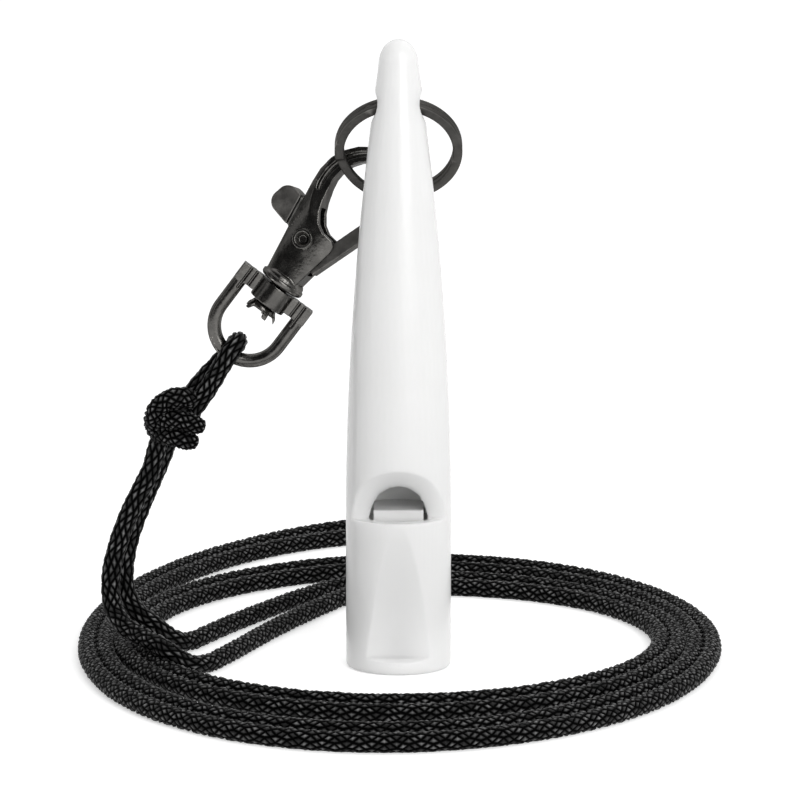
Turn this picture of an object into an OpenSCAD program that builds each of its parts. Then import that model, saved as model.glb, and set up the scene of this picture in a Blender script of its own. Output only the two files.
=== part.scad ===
// Dog whistle on a split ring, a swivel snap clasp and a doubled neck cord.
// Millimetres. +Z runs up the whistle from the centre of its mouth end, the window faces -Y.

/* [Whistle body] */
// Diameter of the straight barrel at the mouth end
body_d = 13.4; // [12.8:0.1:14.6]
// Length from the mouth end to the tip
body_len = 80; // [76:0.5:88]
// Height at which the barrel starts to taper
barrel_h = 20.5; // [18:0.5:24]
// Diameter of the taper just below the rounded tip
tip_d = 5.0; // [4.8:0.1:6]
// Height of the rounded tip
tip_h = 3.1; // [2:0.1:4]
// How quickly the taper closes in towards the tip
taper_power = 1.87; // [1.6:0.01:2.1]
// Radius of the rounded edge round the mouth end
mouth_round = 0.5; // [0.3:0.1:0.8]

/* [Window and chamber] */
// Diameter of the bore that holds the plug and forms the chamber
bore_d = 9.4; // [8.8:0.1:9.8]
// Height of the straight part of the chamber
chamber_h = 30; // [28:0.5:36]
// Height of the ledge at the foot of the window
ledge_h = 19.5; // [18.5:0.1:20.5]
// Radius of the hollow ramp above the ledge
ramp_r = 12.6; // [11.8:0.1:13.4]
// Height of the ledge above the middle of the ramp's curve
ramp_sink = 2.4; // [1.6:0.1:2.8]
// Depth of the ramp where it meets the ledge
ramp_depth = 3.7; // [3:0.1:3.9]

/* [Bite recess] */
// Depth of the sloping tooth flat at its foot
bite_depth = 1.4; // [0.8:0.1:1.5]
// Distance of the top of the tooth flat below the ledge
bite_drop = 0.5; // [0.3:0.1:2]
// Height of the ridge left below the tooth flat
lip_h = 1.6; // [1.4:0.1:3]
// Height of the slope from the ridge into the flat
lip_slope = 0.4; // [0.3:0.1:1]

/* [Plug] */
// Gap between the plug and its bore
plug_fit = 0.03; // [0.02:0.01:0.05]
// How far the plug stands above the ledge
plug_rise = 1.2; // [0.8:0.1:1.6]
// Width of the block that stands up from the plug into the window
plug_top_w = 6.3; // [5.8:0.1:6.6]
// Height of the air channel at the mouth end
flue_in = 1.7; // [1.4:0.1:2]
// Height of the air channel at the window
flue_out = 1.25; // [1:0.05:1.4]

/* [Split ring] */
// Diameter of the hole through the tip
hole_d = 3.0; // [2.9:0.05:3.4]
// Distance of the hole below the tip
hole_drop = 8.4; // [8:0.1:10]
// Widening of the hole at its mouths
hole_flare = 0.5; // [0.3:0.1:0.8]
// Outside diameter of the split ring
ring_od = 16.2; // [16:0.1:17]
// Radial width of the ring's flat wire
wire_w = 1.2; // [1:0.05:1.3]
// Thickness of the ring's flat wire
wire_t = 0.75; // [0.6:0.05:0.8]
// Gap between the two turns of the ring
turn_gap = 0.1; // [0.05:0.01:0.15]
// Lean of the ring back from the whistle, in degrees
ring_tilt = 36; // [35:0.5:38]

/* [Swivel eye] */
// Width of the D-shaped eye
eye_w = 10.9; // [10.4:0.1:12]
// Diameter of the eye's bent bar
eye_bar = 1.8; // [1.6:0.1:2]
// Height of the crossbar along the swivel axis
cross_h = 2.3; // [2:0.1:2.8]
// Length of the eye below the crossbar, to the middle of the bar
eye_drop = 8.6; // [8:0.1:9.4]
// Diameter of the round boss in the crossbar
boss_d = 5.0; // [4.4:0.1:5.4]
// Diameter of the swivel stem
stem_d = 2.4; // [2:0.1:2.6]
// Gap between the stem and the boss's bore
swivel_fit = 0.05; // [0.03:0.01:0.08]
// Gap above and below the eye on its stem
swivel_play = 0.25; // [0.15:0.05:0.4]
// Width and depth of the grooves across the crossbar's ends
cross_groove = 0.3; // [0.2:0.05:0.35]

/* [Clasp] */
// Diameter of the collar that the eye turns against
collar_d = 6.1; // [5.6:0.1:6.6]
// Thickness of the collar
collar_h = 1.5; // [1.2:0.1:1.8]
// Thickness of the clasp body over both cheeks
cheek_span = 4.5; // [4.3:0.1:5]
// Width of the slot between the cheeks
slot_w = 2.3; // [2.1:0.1:2.5]
// Height of the slot's floor above the collar's middle
slot_floor = 2.5; // [2.2:0.1:2.8]
// Width of the hook's bar in the plane of the hook
nose_w = 1.9; // [1.6:0.05:2]
// Thickness of the hook's bar
nose_t = 1.95; // [1.92:0.01:2.4]
// Width of the hook's flat arm where it leaves the cheeks
arm_w = 2.5; // [2.2:0.1:2.7]
// Diameter of the round groove along both faces of the arm
arm_groove_d = 0.7; // [0.5:0.1:0.8]
// Radius of the domed outer faces of the cheeks
dome_r = 8; // [7.5:0.5:12]
// Step between the collar's lip and its upper part
collar_step = 0.25; // [0.15:0.05:0.35]
// Radius of the hook's long back curve, to the middle of the bar
back_r = 6.25; // [6:0.05:6.6]
// Radius of the hook's front curve, to the middle of the bar
front_r = 3.6; // [3.3:0.1:3.8]
// Lean of the clasp from upright, in degrees
clasp_lean = 37; // [35:0.5:39]
// Turn of the hook about the swivel at rest, in degrees
hook_roll = 18; // [17:0.5:20]

/* [Trigger] */
// Gap between the trigger and each cheek
cheek_fit = 0.15; // [0.1:0.05:0.2]
// Diameter of the rivet that the trigger turns on
rivet_d = 1.6; // [1.4:0.1:1.8]
// Gap between the rivet and the trigger's bore
rivet_fit = 0.05; // [0.03:0.01:0.08]
// Diameter of the rivet's heads
rivet_head_d = 3.0; // [2.7:0.1:3.2]
// Thickness of the rivet's heads
rivet_head_t = 0.35; // [0.25:0.05:0.5]
// Width of the thumb tab
tab_w = 3.9; // [3.7:0.1:4.3]
// Radius of the thumb tab's corners
tab_round = 1.5; // [1.2:0.1:1.8]
// Thickness of the thumb tab
tab_t = 3.2; // [2.8:0.1:3.6]
// Width of the gate bar
gate_w = 1.9; // [1.7:0.1:2.1]
// Diameter of the return spring's wire
spring_wire = 0.3; // [0.25:0.01:0.35]
// Diameter of the return spring to the middle of its wire
spring_d = 1.2; // [1.1:0.05:1.3]

/* [Cord] */
// Diameter of the braided cord
cord_d = 2.3; // [2.1:0.05:2.35]
// Distance between neighbouring strands at the sides of the coil
strand_step = 2.45; // [2.4:0.05:2.55]
// Number of loops of the doubled cord in the coil
coil_loops = 2; // [2:1:2]
// Distance from the eye's bar to the middle of the knot
knot_reach = 10.8; // [10:0.1:11.6]
// Diameter of the knot
knot_d = 7.0; // [6.8:0.1:7.4]
// Length of the knot along the cord
knot_len = 5.2; // [5:0.1:6]

/* [Hidden] */
$fn = 64;
cut = 1;

// Whistle
body_r = body_d / 2;
bore_r = bore_d / 2;
tip_z = body_len - tip_h;
hole_z = body_len - hole_drop;
hole_r = hole_d / 2;
function taper_r(z) = body_r - (body_r - tip_d / 2) * pow(max(0, (z - barrel_h) / (tip_z - barrel_h)), taper_power);
taper_steps = 20;
tip_steps = 10;
round_steps = 5;
body_profile = concat(
    [[0, 0]],
    [for (i = [0 : round_steps]) let (a = 90 * i / round_steps)
        [body_r - mouth_round * (1 - sin(a)), mouth_round * (1 - cos(a))]],
    [for (i = [0 : taper_steps]) let (z = barrel_h + (tip_z - barrel_h) * i / taper_steps) [taper_r(z), z]],
    [for (i = [1 : tip_steps]) let (a = 90 * i / tip_steps)
        [taper_r(tip_z) * cos(a), tip_z + tip_h * sin(a)]]
);
ramp_y = -body_r + ramp_depth - sqrt(pow(ramp_r, 2) - pow(ramp_sink, 2));
bite_top = ledge_h - bite_drop;
chamber_cone = 2.5;

// Split ring
ring_r = (ring_od - wire_w) / 2;
turn_step = wire_t + turn_gap;
ring_lift = 0.35;
wire_start = 250;
wire_sweep = 660;
wire_step = 12;
cross_from = 300;
cross_to = 360;

// Clasp, in a frame with its origin in the collar, +Z along the swivel axis and +X on the gate's side
clasp_at = [-14.7, 8.1, hole_z - 23];
eye_top = -collar_h / 2 - swivel_play;
cross_low = eye_top - cross_h;
boss_low = cross_low - 0.5;
eye_half = (eye_w - eye_bar) / 2;
bend_z = cross_low - eye_drop + eye_half;
bar_low = cross_low - eye_drop;
flare_top = boss_low - swivel_play;
flare_r = stem_d / 2 + 0.5;
flare_t = 0.6;
petal_reach = 2.3;
petal_t = 0.75;
petals = 5;
slot_top = 10.4;
dome_at = -0.4;
arc_x = 2.6;
arc_z = 14.3;
front_z = arc_z + back_r - front_r;
nose_turn = -42;
nose_taper = 0.94;
nose_bury = 5;
pivot = [-0.7, 5.9];
rivet_hole_fit = 0.01;
lever_t = slot_w - 2 * cheek_fit;
hub_r = 1.9;
tab_at = [-5.52, 8.32];
tab_tilt = 11;
tab_root = [2.0, 0.6];
gate_root = [2.0, 3.2];
gate_tip = [5.3, 12.9];
spring_x = -1.9;
spring_low = slot_floor + spring_wire / 2;
seat_drop = 1.6;
spring_high = pivot[1] - seat_drop - spring_wire / 2 - 0.02;
spring_turns = 2.5;

// Cord
cord_r = cord_d / 2;
wrap_r = eye_bar / 2 + cord_r + 0.12;
strand_gap = cord_d + 0.15;
knot_z = bar_low - knot_reach;
knot_shift = -0.6;
coil_x = 1.2;
coil_y = 12;
coil_half_x = 30.9;
coil_half_y = 35.3;
coil_grow = 12.6;
coil_open = 30;
strand_step_y = 5.4;
bight_r = 4.6;
loop_rings = 24;
bight_rings = 8;
coil_z = cord_r * cos(30);
join_n = 0.02;

// Route of the strand that hangs at the back, from the knot to the coil, chosen by hand
back_route = [
    [-30.9, 9.2, 24.6], [-32.1, 9.0, 21.9], [-33.4, 8.9, 18.9], [-34.6, 8.8, 15.7], [-35.4, 8.7, 12.5],
    [-35.6, 8.4, 9.5], [-35.0, 7.8, 7.0], [-33.6, 7.0, 5.1], [-31.6, 6.4, 3.9], [-29.8, 6.4, 2.6],
    [-28.2, 7.4, 1.7], [-26.8, 9.6, 1.2], [-25.2, 13.2, 1.1], [-22.8, 18.8, 1.1], [-20.0, 24.8, 1.1],
    [-17.0, 30.8, 1.1], [-13.8, 36.8, 1.1], [-10.4, 42.2, 1.1], [-7.2, 46.2, 1.1], [-3.8, 48.8, 1.1],
    [-0.6, 50.0, 1.1]
];
// Route of the strand that hangs in front
front_route = [
    [-31.9, 7.0, 24.2], [-33.3, 6.7, 21.4], [-34.8, 6.4, 18.4], [-36.0, 6.2, 15.2], [-36.9, 6.0, 12.0],
    [-37.2, 5.5, 9.0], [-36.8, 4.2, 6.6], [-35.5, 2.2, 4.9], [-33.4, -0.4, 4.1], [-31.2, -2.8, 3.8],
    [-29.0, -4.8, 3.6], [-26.8, -5.9, 2.8], [-24.8, -5.6, 1.6], [-23.3, -3.6, 1.1], [-22.0, 0.4, 1.1],
    [-20.2, 6.2, 1.1], [-17.9, 13.0, 1.1], [-15.3, 20.0, 1.1], [-12.6, 26.6, 1.1], [-9.9, 32.8, 1.1],
    [-7.2, 38.2, 1.1], [-4.4, 41.9, 1.1], [-1.2, 43.6, 1.1]
];

// Sweeps
function unit(v) = v / norm(v);
// Direction of a route at point i, forced to the given end directions where there are any
function along(pts, i, first, last) =
    i == 0 && is_list(first) ? first
    : i == len(pts) - 1 && is_list(last) ? last
    : unit(pts[min(i + 1, len(pts) - 1)] - pts[max(i - 1, 0)]);
// A ring of points square to direction d, with its first side lying towards side
function round_ring(p, d, side, r, sides) =
    let (b = unit(cross(d, side)), a = cross(b, d))
    [for (k = [0 : sides - 1]) let (t = 360 * (k + 0.5) / sides) p + r * (cos(t) * a + sin(t) * b)];
// Triangles that close a stack of rings, capped at both ends
function tube_faces(count, sides) = concat(
    [for (k = [1 : sides - 2]) [0, k, k + 1]],
    [for (i = [0 : count - 2], k = [0 : sides - 1]) let (n = (k + 1) % sides)
        [i * sides + k, (i + 1) * sides + k, i * sides + n]],
    [for (i = [0 : count - 2], k = [0 : sides - 1]) let (n = (k + 1) % sides)
        [i * sides + n, (i + 1) * sides + k, (i + 1) * sides + n]],
    [for (k = [1 : sides - 2]) let (b = (count - 1) * sides) [b, b + k + 1, b + k]]
);
function flat(rings) = [for (ring = rings) each ring];

module tube(pts, r, sides, side, first = undef, last = undef) {
    rings = [for (i = [0 : len(pts) - 1]) round_ring(pts[i], along(pts, i, first, last), side, r, sides)];
    polyhedron(points = flat(rings), faces = tube_faces(len(pts), sides), convexity = 10);
}

// Places in the assembly
module at_clasp() translate(clasp_at) rotate([0, clasp_lean, 0]) children();
module at_hook() at_clasp() rotate([0, 0, -hook_roll]) children();
// A point of the clasp's frame, in the whistle's frame
function from_clasp(p) = clasp_at + [
    p[0] * cos(clasp_lean) + p[2] * sin(clasp_lean),
    p[1],
    p[2] * cos(clasp_lean) - p[0] * sin(clasp_lean)];
clasp_up = [sin(clasp_lean), 0, cos(clasp_lean)];

// Whistle
module labium_cut() {
    intersection() {
        translate([-body_d, ramp_y, ledge_h - ramp_sink])
            rotate([0, 90, 0]) cylinder(r = ramp_r, h = 2 * body_d);
        translate([-body_d, -3 * body_d, ledge_h]) cube([2 * body_d, 3 * body_d, ramp_r]);
    }
}

module bite_cut() {
    rotate([90, 0, 90])
        linear_extrude(height = 2 * body_d, center = true)
            polygon([[-body_r, bite_top], [-body_r + bite_depth, lip_h + lip_slope], [-body_r, lip_h],
                [-body_r - cut, lip_h], [-body_r - cut, bite_top]]);
}

module ring_hole() {
    translate([0, 0, hole_z]) rotate([0, 90, 0]) cylinder(d = hole_d, h = 2 * body_d, center = true);
    for (side = [0, 180])
        rotate([0, 0, side])
            translate([taper_r(hole_z) - 1.5 * hole_flare, 0, hole_z])
                rotate([0, 90, 0])
                    cylinder(r1 = hole_r, r2 = hole_r + 2 * hole_flare, h = 4 * hole_flare);
}

module whistle_body() {
    color("white")
        difference() {
            rotate_extrude() polygon(body_profile);
            translate([0, 0, -cut]) cylinder(r = bore_r, h = chamber_h + cut);
            translate([0, 0, chamber_h]) cylinder(r1 = bore_r, r2 = bore_r - chamber_cone, h = chamber_cone);
            labium_cut();
            for (side = [0, 180]) rotate([0, 0, side]) bite_cut();
            ring_hole();
        }
}

module fipple_plug() {
    color("white")
        difference() {
            cylinder(r = bore_r - plug_fit, h = ledge_h + plug_rise);
            rotate([90, 0, 90])
                linear_extrude(height = 2 * body_d, center = true)
                    polygon([[-bore_r + flue_in, -cut], [-bore_r + flue_in, 0],
                        [-bore_r + flue_out, ledge_h], [-bore_r + flue_out, ledge_h + plug_rise + cut],
                        [-body_r - cut, ledge_h + plug_rise + cut], [-body_r - cut, -cut]]);
            for (side = [-1, 1])
                translate([side * (plug_top_w / 2 + body_r) - body_r, -body_r, ledge_h - plug_rise / 4])
                    cube([2 * body_r, 2 * body_r, 2 * plug_rise]);
        }
}

// Split ring: one flat wire that steps from its lower turn to its upper one
function ring_level(a) =
    let (s = min(1, max(0, (a - cross_from) / (cross_to - cross_from)))) turn_step * (s * s * (3 - 2 * s) - 0.5);
ring_wire = [for (a = [0 : wire_step : wire_sweep]) let (t = a + wire_start, z = ring_level(a))
    [for (c = [[-1, -1], [1, -1], [1, 1], [-1, 1]]) let (r = ring_r + c[0] * wire_w / 2)
        [r * cos(t), r * sin(t), z + c[1] * wire_t / 2]]];

module split_ring() {
    color("dimgray")
        translate([0, 0, hole_z])
            rotate([90 + ring_tilt, 0, 0])
                translate([0, ring_lift - ring_r, 0])
                    polyhedron(points = flat(ring_wire), faces = tube_faces(len(ring_wire), 4), convexity = 10);
}

// Clasp
module bent_bar(centre, radius, from, to) {
    translate([centre[0], 0, centre[1]])
        rotate([90, 0, 0])
            rotate([0, 0, from])
                rotate_extrude(angle = to - from) translate([radius, 0]) children();
}

module swivel_eye() {
    color("dimgray")
        at_clasp()
            difference() {
                union() {
                    translate([-eye_w / 2, -eye_bar / 2, cross_low]) cube([eye_w, eye_bar, cross_h]);
                    translate([0, 0, boss_low]) cylinder(d = boss_d, h = eye_top - boss_low);
                    for (side = [-1, 1])
                        translate([side * eye_half, 0, bend_z]) cylinder(d = eye_bar, h = cross_low - bend_z);
                    bent_bar([0, bend_z], eye_half, 180, 360) circle(d = eye_bar);
                }
                translate([0, 0, boss_low - cut])
                    cylinder(r = stem_d / 2 + swivel_fit, h = eye_top - boss_low + 2 * cut);
                for (face = [-1, 1], end = [-1, 1], row = [4, 7])
                    translate([end * (eye_w / 2 - row * cross_groove), face * eye_bar / 2, cross_low - cut])
                        translate([-cross_groove / 2, -cross_groove, 0])
                            cube([cross_groove, 2 * cross_groove, cross_h + 2 * cut]);
            }
}

module bar_section(part = 1) {
    square([part * nose_w, part * (nose_t - nose_w)], center = true);
    for (side = [-1, 1]) translate([0, side * part * (nose_t - nose_w) / 2]) circle(d = part * nose_w);
}

// Cheeks of the clasp body seen from the front, as x and height
arm_from = 195;
arm_to = 105;
function arm_half(a) = nose_w / 2 + (arm_w - nose_w) / 2 * (a - arm_to) / (arm_from - arm_to);
function arm_point(a, side) = [arc_x, arc_z] + (back_r + side * arm_half(a)) * [cos(a), sin(a)];
cheek_outline = concat(
    [[-2.6, 0.4], [2.1, 0.4], [3.1, 6.6], [3.0, 7.5], [2.4, 8.0], [0.8, 8.1], [-0.3, 8.7], [-1.2, 9.9], [-1.75, 11.2]],
    [for (a = [arm_from : -15 : arm_to]) arm_point(a, -1)],
    [for (a = [arm_to : 15 : arm_from]) arm_point(a, 1)],
    [[-3.95, 9.0]]
);
// Half of the cheeks seen from the side, as depth and height
cheek_depth = [[0.49, 0.4], [0.5, 7], [0.46, 9], [0.28, 13.2], [0.22, 21.5]];

module cheeks() {
    intersection() {
        translate([0, cheek_span, 0]) rotate([90, 0, 0]) linear_extrude(height = 2 * cheek_span) polygon(cheek_outline);
        rotate([90, 0, 90])
            linear_extrude(height = 6 * cheek_span, center = true)
                polygon(concat([for (p = cheek_depth) [p[0] * cheek_span, p[1]]],
                    [for (i = [len(cheek_depth) - 1 : -1 : 0]) [-cheek_depth[i][0] * cheek_span, cheek_depth[i][1]]]));
        cylinder(r1 = 0.62 * cheek_span, r2 = 1.42 * cheek_span, h = 22);
        translate([dome_at, dome_r - cheek_span / 2, 0]) cylinder(r = dome_r, h = 22);
        translate([dome_at, cheek_span / 2 - dome_r, 0]) cylinder(r = dome_r, h = 22);
    }
}

module stem() {
    translate([0, 0, flare_top - flare_t]) cylinder(d = stem_d, h = collar_h / 2 - flare_top + flare_t);
    translate([0, 0, flare_top - flare_t]) cylinder(r1 = flare_r + 0.2, r2 = flare_r, h = flare_t);
    for (i = [0 : petals - 1])
        rotate([0, 0, 360 * i / petals + 20])
            translate([0, petal_t / 2, flare_top - flare_t])
                rotate([90, 0, 0])
                    linear_extrude(height = petal_t)
                        polygon([[0, -0.3], [flare_r, -0.2], [petal_reach, -0.9], [petal_reach - 0.1, -0.2],
                            [flare_r, 0.5], [0, 0.5]]);
}

module clasp_hook() {
    color("dimgray")
        at_hook()
            difference() {
                union() {
                    rotate_extrude()
                        polygon([[0, -collar_h / 2], [collar_d / 2 - collar_step, -collar_h / 2],
                            [collar_d / 2, -collar_h / 2 + collar_step], [collar_d / 2, 0],
                            [collar_d / 2 - collar_step, 0.1], [collar_d / 2 - collar_step, collar_h / 4],
                            [collar_d / 2 - 2 * collar_step, collar_h / 2], [0, collar_h / 2]]);
                    stem();
                    cheeks();
                    bent_bar([arc_x, arc_z], back_r, 90, 203) bar_section();
                    bent_bar([arc_x, front_z], front_r, nose_turn, 90 + nose_bury) bar_section(nose_taper);
                }
                translate([-3 * cheek_span, -slot_w / 2, slot_floor])
                    cube([6 * cheek_span, slot_w, slot_top - slot_floor]);
                for (side = [-1, 1])
                    bent_bar([arc_x, arc_z], back_r, arm_to + 3, arm_from + 6)
                        translate([0, side * (nose_t / 2 + arm_groove_d / 4)]) circle(d = arm_groove_d);
                translate([pivot[0], 0, pivot[1]])
                    rotate([90, 0, 0]) cylinder(r = rivet_d / 2 + rivet_hole_fit, h = 2 * cheek_span, center = true);
            }
}

// Face of the thumb tab, with its rounded end at -X and its root cut along the cheeks
module tab_face() {
    half = tab_w / 2;
    inner = half - tab_round;
    polygon([[tab_root[0], -half], [tab_root[1], half], [-inner, half], [-half, inner], [-half, -inner],
        [-inner, -half]]);
    for (side = [-1, 1]) translate([-inner, side * inner]) circle(r = tab_round);
}

module trigger_lever() {
    along_gate = unit(gate_tip - gate_root);
    across_gate = [along_gate[1], -along_gate[0]] * gate_w / 2;
    color("dimgray")
        at_hook()
            difference() {
                union() {
                    rotate([90, 0, 0])
                        linear_extrude(height = lever_t, center = true) {
                            translate(pivot) circle(r = hub_r);
                            polygon([pivot + [-2.3, -seat_drop], pivot + [-1, -seat_drop], pivot + [0, hub_r],
                                tab_at + [1.2, tab_w / 2 - 0.3], tab_at + [-0.1, tab_w / 2 - 0.4],
                                tab_at + [-0.1, -tab_w / 2 + 0.4], tab_at + [1.7, -tab_w / 2 - 0.3],
                                pivot + [-2.75, -0.2]]);
                            polygon([pivot + [0, -1.2], gate_root, gate_root + across_gate,
                                gate_tip + across_gate, gate_tip - across_gate, gate_root - across_gate
                                + 4.4 * along_gate, pivot + [0, hub_r - 0.2]]);
                        }
                    rotate([90, 0, 0])
                        linear_extrude(height = tab_t, center = true)
                            translate(tab_at) rotate(-tab_tilt) tab_face();
                }
                translate([pivot[0], 0, pivot[1]])
                    rotate([90, 0, 0]) cylinder(r = rivet_d / 2 + rivet_fit, h = 2 * cheek_span, center = true);
            }
}

module trigger_rivet() {
    color("dimgray")
        at_hook()
            translate([pivot[0], 0, pivot[1]])
                rotate([90, 0, 0])
                    difference() {
                        union() {
                            cylinder(d = rivet_d, h = cheek_span + rivet_head_t, center = true);
                            for (side = [0, 180])
                                rotate([side, 0, 0])
                                    translate([0, 0, cheek_span / 2])
                                        cylinder(d1 = rivet_head_d, d2 = rivet_head_d - 0.5, h = rivet_head_t);
                        }
                        for (side = [0, 180])
                            rotate([side, 0, 0])
                                translate([0, 0, cheek_span / 2 - 0.2])
                                    cylinder(r1 = 0.5, r2 = 1.05, h = rivet_head_t + 0.3);
                    }
}

spring_path = [for (i = [0 : 12 * spring_turns]) let (a = 30 * i, s = i / (12 * spring_turns))
    [spring_x + spring_d / 2 * cos(a), spring_d / 2 * sin(a), spring_low + (spring_high - spring_low) * s]];

module trigger_spring() {
    color("silver") at_hook() tube(spring_path, spring_wire / 2, 6, [0, 0, 1]);
}

// Cord: the loop round the eye's bar leaves the knot straight, spreads round the bar and comes back
loop_side = concat(
    [[-1, knot_len / 2], [-1, knot_len / 2 + cord_d]],
    [[-1.35, knot_reach - 2.6]],
    [for (a = [180 : -22.5 : 90]) [cos(a) * wrap_r * 2 / strand_gap, knot_reach + wrap_r * sin(a)]]
);
function loop_point(p) = from_clasp([0, p[0] * strand_gap / 2, knot_z + p[1]]);
loop_path = concat(
    [for (p = loop_side) loop_point(p)],
    [for (i = [len(loop_side) - 2 : -1 : 0]) loop_point([-loop_side[i][0], loop_side[i][1]])]
);

module eye_loop() {
    color("black") tube(loop_path, cord_r, 8, [cos(clasp_lean), 0, -sin(clasp_lean)], clasp_up, -clasp_up);
}

module stopper_knot() {
    color("black")
        at_clasp()
            translate([0, 0, knot_z]) {
                translate([knot_shift, 0, 0]) rotate_extrude() {
                    square([knot_d / 2 - cord_r, knot_len / 2]);
                    translate([0, -knot_len / 2]) square([knot_d / 2 - cord_r, knot_len / 2]);
                    for (side = [-1, 1])
                        translate([knot_d / 2 - cord_r, side * (knot_len / 2 - cord_r)]) circle(r = cord_r);
                    translate([0, -knot_len / 2 + cord_r]) square([knot_d / 2 - 0.3, knot_len - cord_d]);
                }
                for (tail = [[1.0, -8, 2.6], [-0.6, 5, 3.2]])
                    translate([0, -1, tail[0]])
                        rotate([0, 90 + tail[1], 0]) {
                            cylinder(r = cord_r, h = tail[2]);
                            translate([0, 0, tail[2]]) sphere(r = cord_r);
                        }
            }
}

// Coil: two strands side by side spiral out for the loops and turn back in a bight
function coil_point(n, outer) =
    let (a = 90 - 360 * n, open = max(0, n - coil_loops + 0.75), splay = max(0, n - coil_loops + 0.1) / 0.1,
        apart = strand_step_y * (1 - splay) + 2 * bight_r * splay,
        half_x = coil_half_x + 2 * strand_step * n + outer * strand_step,
        half_y = coil_half_y + coil_grow * n + coil_open * open * open + (outer - 0.5) * apart)
    [coil_x + half_x * cos(a), coil_y + half_y * sin(a), coil_z];
coil_rings = loop_rings * coil_loops;
function coil_end(outer) = coil_point(join_n, outer);
join_dir = unit(coil_point(2 * join_n, 1) - coil_point(0, 1));
bight_from = coil_point(coil_loops, 0);
coil_path = concat(
    [coil_end(1), coil_end(1) + cord_d * join_dir],
    [for (i = [1 : coil_rings]) coil_point(i / loop_rings, 1)],
    [for (i = [1 : bight_rings - 1]) let (a = 90 - 180 * i / bight_rings)
        bight_from + [bight_r * cos(a), bight_r * (1 + sin(a)), 0]],
    [for (i = [coil_rings : -1 : 1]) coil_point(i / loop_rings, 0)],
    [coil_end(0) + cord_d * join_dir, coil_end(0)]
);
coil_fine = concat(
    [for (i = [0 : 8 * coil_rings]) coil_point(i / loop_rings / 8, 1)],
    [for (i = [8 * coil_rings : -1 : 0]) coil_point(i / loop_rings / 8, 0)]
);
// Least distance between points of the coil that lie more than an eighth of a loop apart along it
far_along = loop_rings;
coil_gap = min([for (i = [0 : 4 : len(coil_fine) - 1], j = [i + far_along : 1 : len(coil_fine) - 1])
    let (apart = abs(len(coil_fine) - 1 - i - j)) if (apart > 0 || j - i > 3 * far_along)
    norm(coil_fine[i] - coil_fine[j])]) - cord_d;

module cord_coil() {
    echo(least_gap_in_coil_mm = coil_gap);
    color("black") tube(coil_path, cord_r, 6, [0, 0, -1], join_dir, -join_dir);
}

// Free strands between the knot and the coil
function knot_end(side) = from_clasp([0, side * strand_gap / 2, knot_z - knot_len / 2]);
function strand(side, route, outer) = concat(
    [knot_end(side), knot_end(side) - cord_d * clasp_up],
    route,
    [coil_end(outer) - cord_d * join_dir, coil_end(outer)]
);

module drop_strand_back() {
    color("black") tube(strand(1, back_route, 1), cord_r, 8, [0.3, 1, 0.3], -clasp_up, join_dir);
}

module drop_strand_front() {
    color("black") tube(strand(-1, front_route, 0), cord_r, 8, [0.3, 1, 0.3], -clasp_up, join_dir);
}

whistle_body();
fipple_plug();
split_ring();
swivel_eye();
clasp_hook();
trigger_lever();
trigger_rivet();
trigger_spring();
eye_loop();
stopper_knot();
drop_strand_back();
drop_strand_front();
cord_coil();
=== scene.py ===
# %% [markdown]
# # A dog whistle on its neck cord
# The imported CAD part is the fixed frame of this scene. Everything that shows is either one of its
# solids with a better finish, or a fuller piece that stands where a solid stood. The box of the
# solids is kept from the start, because the dressed object has to stay inside it.

# %% Load the part
import math

import bmesh
import bpy
import numpy as np
from mathutils import Matrix, Vector


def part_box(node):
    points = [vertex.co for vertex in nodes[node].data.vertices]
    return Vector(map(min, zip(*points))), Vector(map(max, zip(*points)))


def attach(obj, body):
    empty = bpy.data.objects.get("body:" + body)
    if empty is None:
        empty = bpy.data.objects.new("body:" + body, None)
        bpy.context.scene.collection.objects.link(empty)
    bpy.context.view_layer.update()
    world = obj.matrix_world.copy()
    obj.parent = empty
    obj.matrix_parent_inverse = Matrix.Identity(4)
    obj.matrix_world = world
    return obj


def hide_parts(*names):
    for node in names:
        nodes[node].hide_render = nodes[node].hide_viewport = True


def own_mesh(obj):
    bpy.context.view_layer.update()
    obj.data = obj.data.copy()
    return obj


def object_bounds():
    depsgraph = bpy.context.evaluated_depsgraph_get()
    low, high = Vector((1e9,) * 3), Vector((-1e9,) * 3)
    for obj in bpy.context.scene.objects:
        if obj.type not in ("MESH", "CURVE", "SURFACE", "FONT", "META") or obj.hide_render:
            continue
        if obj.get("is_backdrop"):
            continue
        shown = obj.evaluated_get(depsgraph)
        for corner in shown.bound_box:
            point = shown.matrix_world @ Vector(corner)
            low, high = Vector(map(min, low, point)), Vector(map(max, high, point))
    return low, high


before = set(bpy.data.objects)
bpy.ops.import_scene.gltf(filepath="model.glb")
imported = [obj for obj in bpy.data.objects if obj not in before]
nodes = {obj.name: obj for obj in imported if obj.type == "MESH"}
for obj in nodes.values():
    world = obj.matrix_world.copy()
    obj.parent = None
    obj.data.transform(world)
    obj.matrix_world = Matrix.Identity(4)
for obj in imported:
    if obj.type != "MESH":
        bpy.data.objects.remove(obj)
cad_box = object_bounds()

MM = 0.001
scene = bpy.context.scene
scene.view_settings.view_transform = "Standard"
print("solids:", len(nodes))
print("box mm:", [[round(v / MM, 1) for v in corner] for corner in cad_box])

# %% [markdown]
# ## Helpers for objects and meshes
# A few jobs come back again and again: putting an object into the scene, turning a camera or a lamp
# towards a point, reading the mesh that a curve or a stack of modifiers makes, shading a mesh
# smooth, and closing the open ends of a tube.

# %% Object helpers
def place_object(name, data):
    piece = bpy.data.objects.new(name, data)
    scene.collection.objects.link(piece)
    return piece


def aimed(at, aim):
    return (Vector(aim) - Vector(at)).to_track_quat("-Z", "Y").to_euler()


def evaluated_mesh(piece):
    depsgraph = bpy.context.evaluated_depsgraph_get()
    return bpy.data.meshes.new_from_object(piece.evaluated_get(depsgraph))


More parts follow.
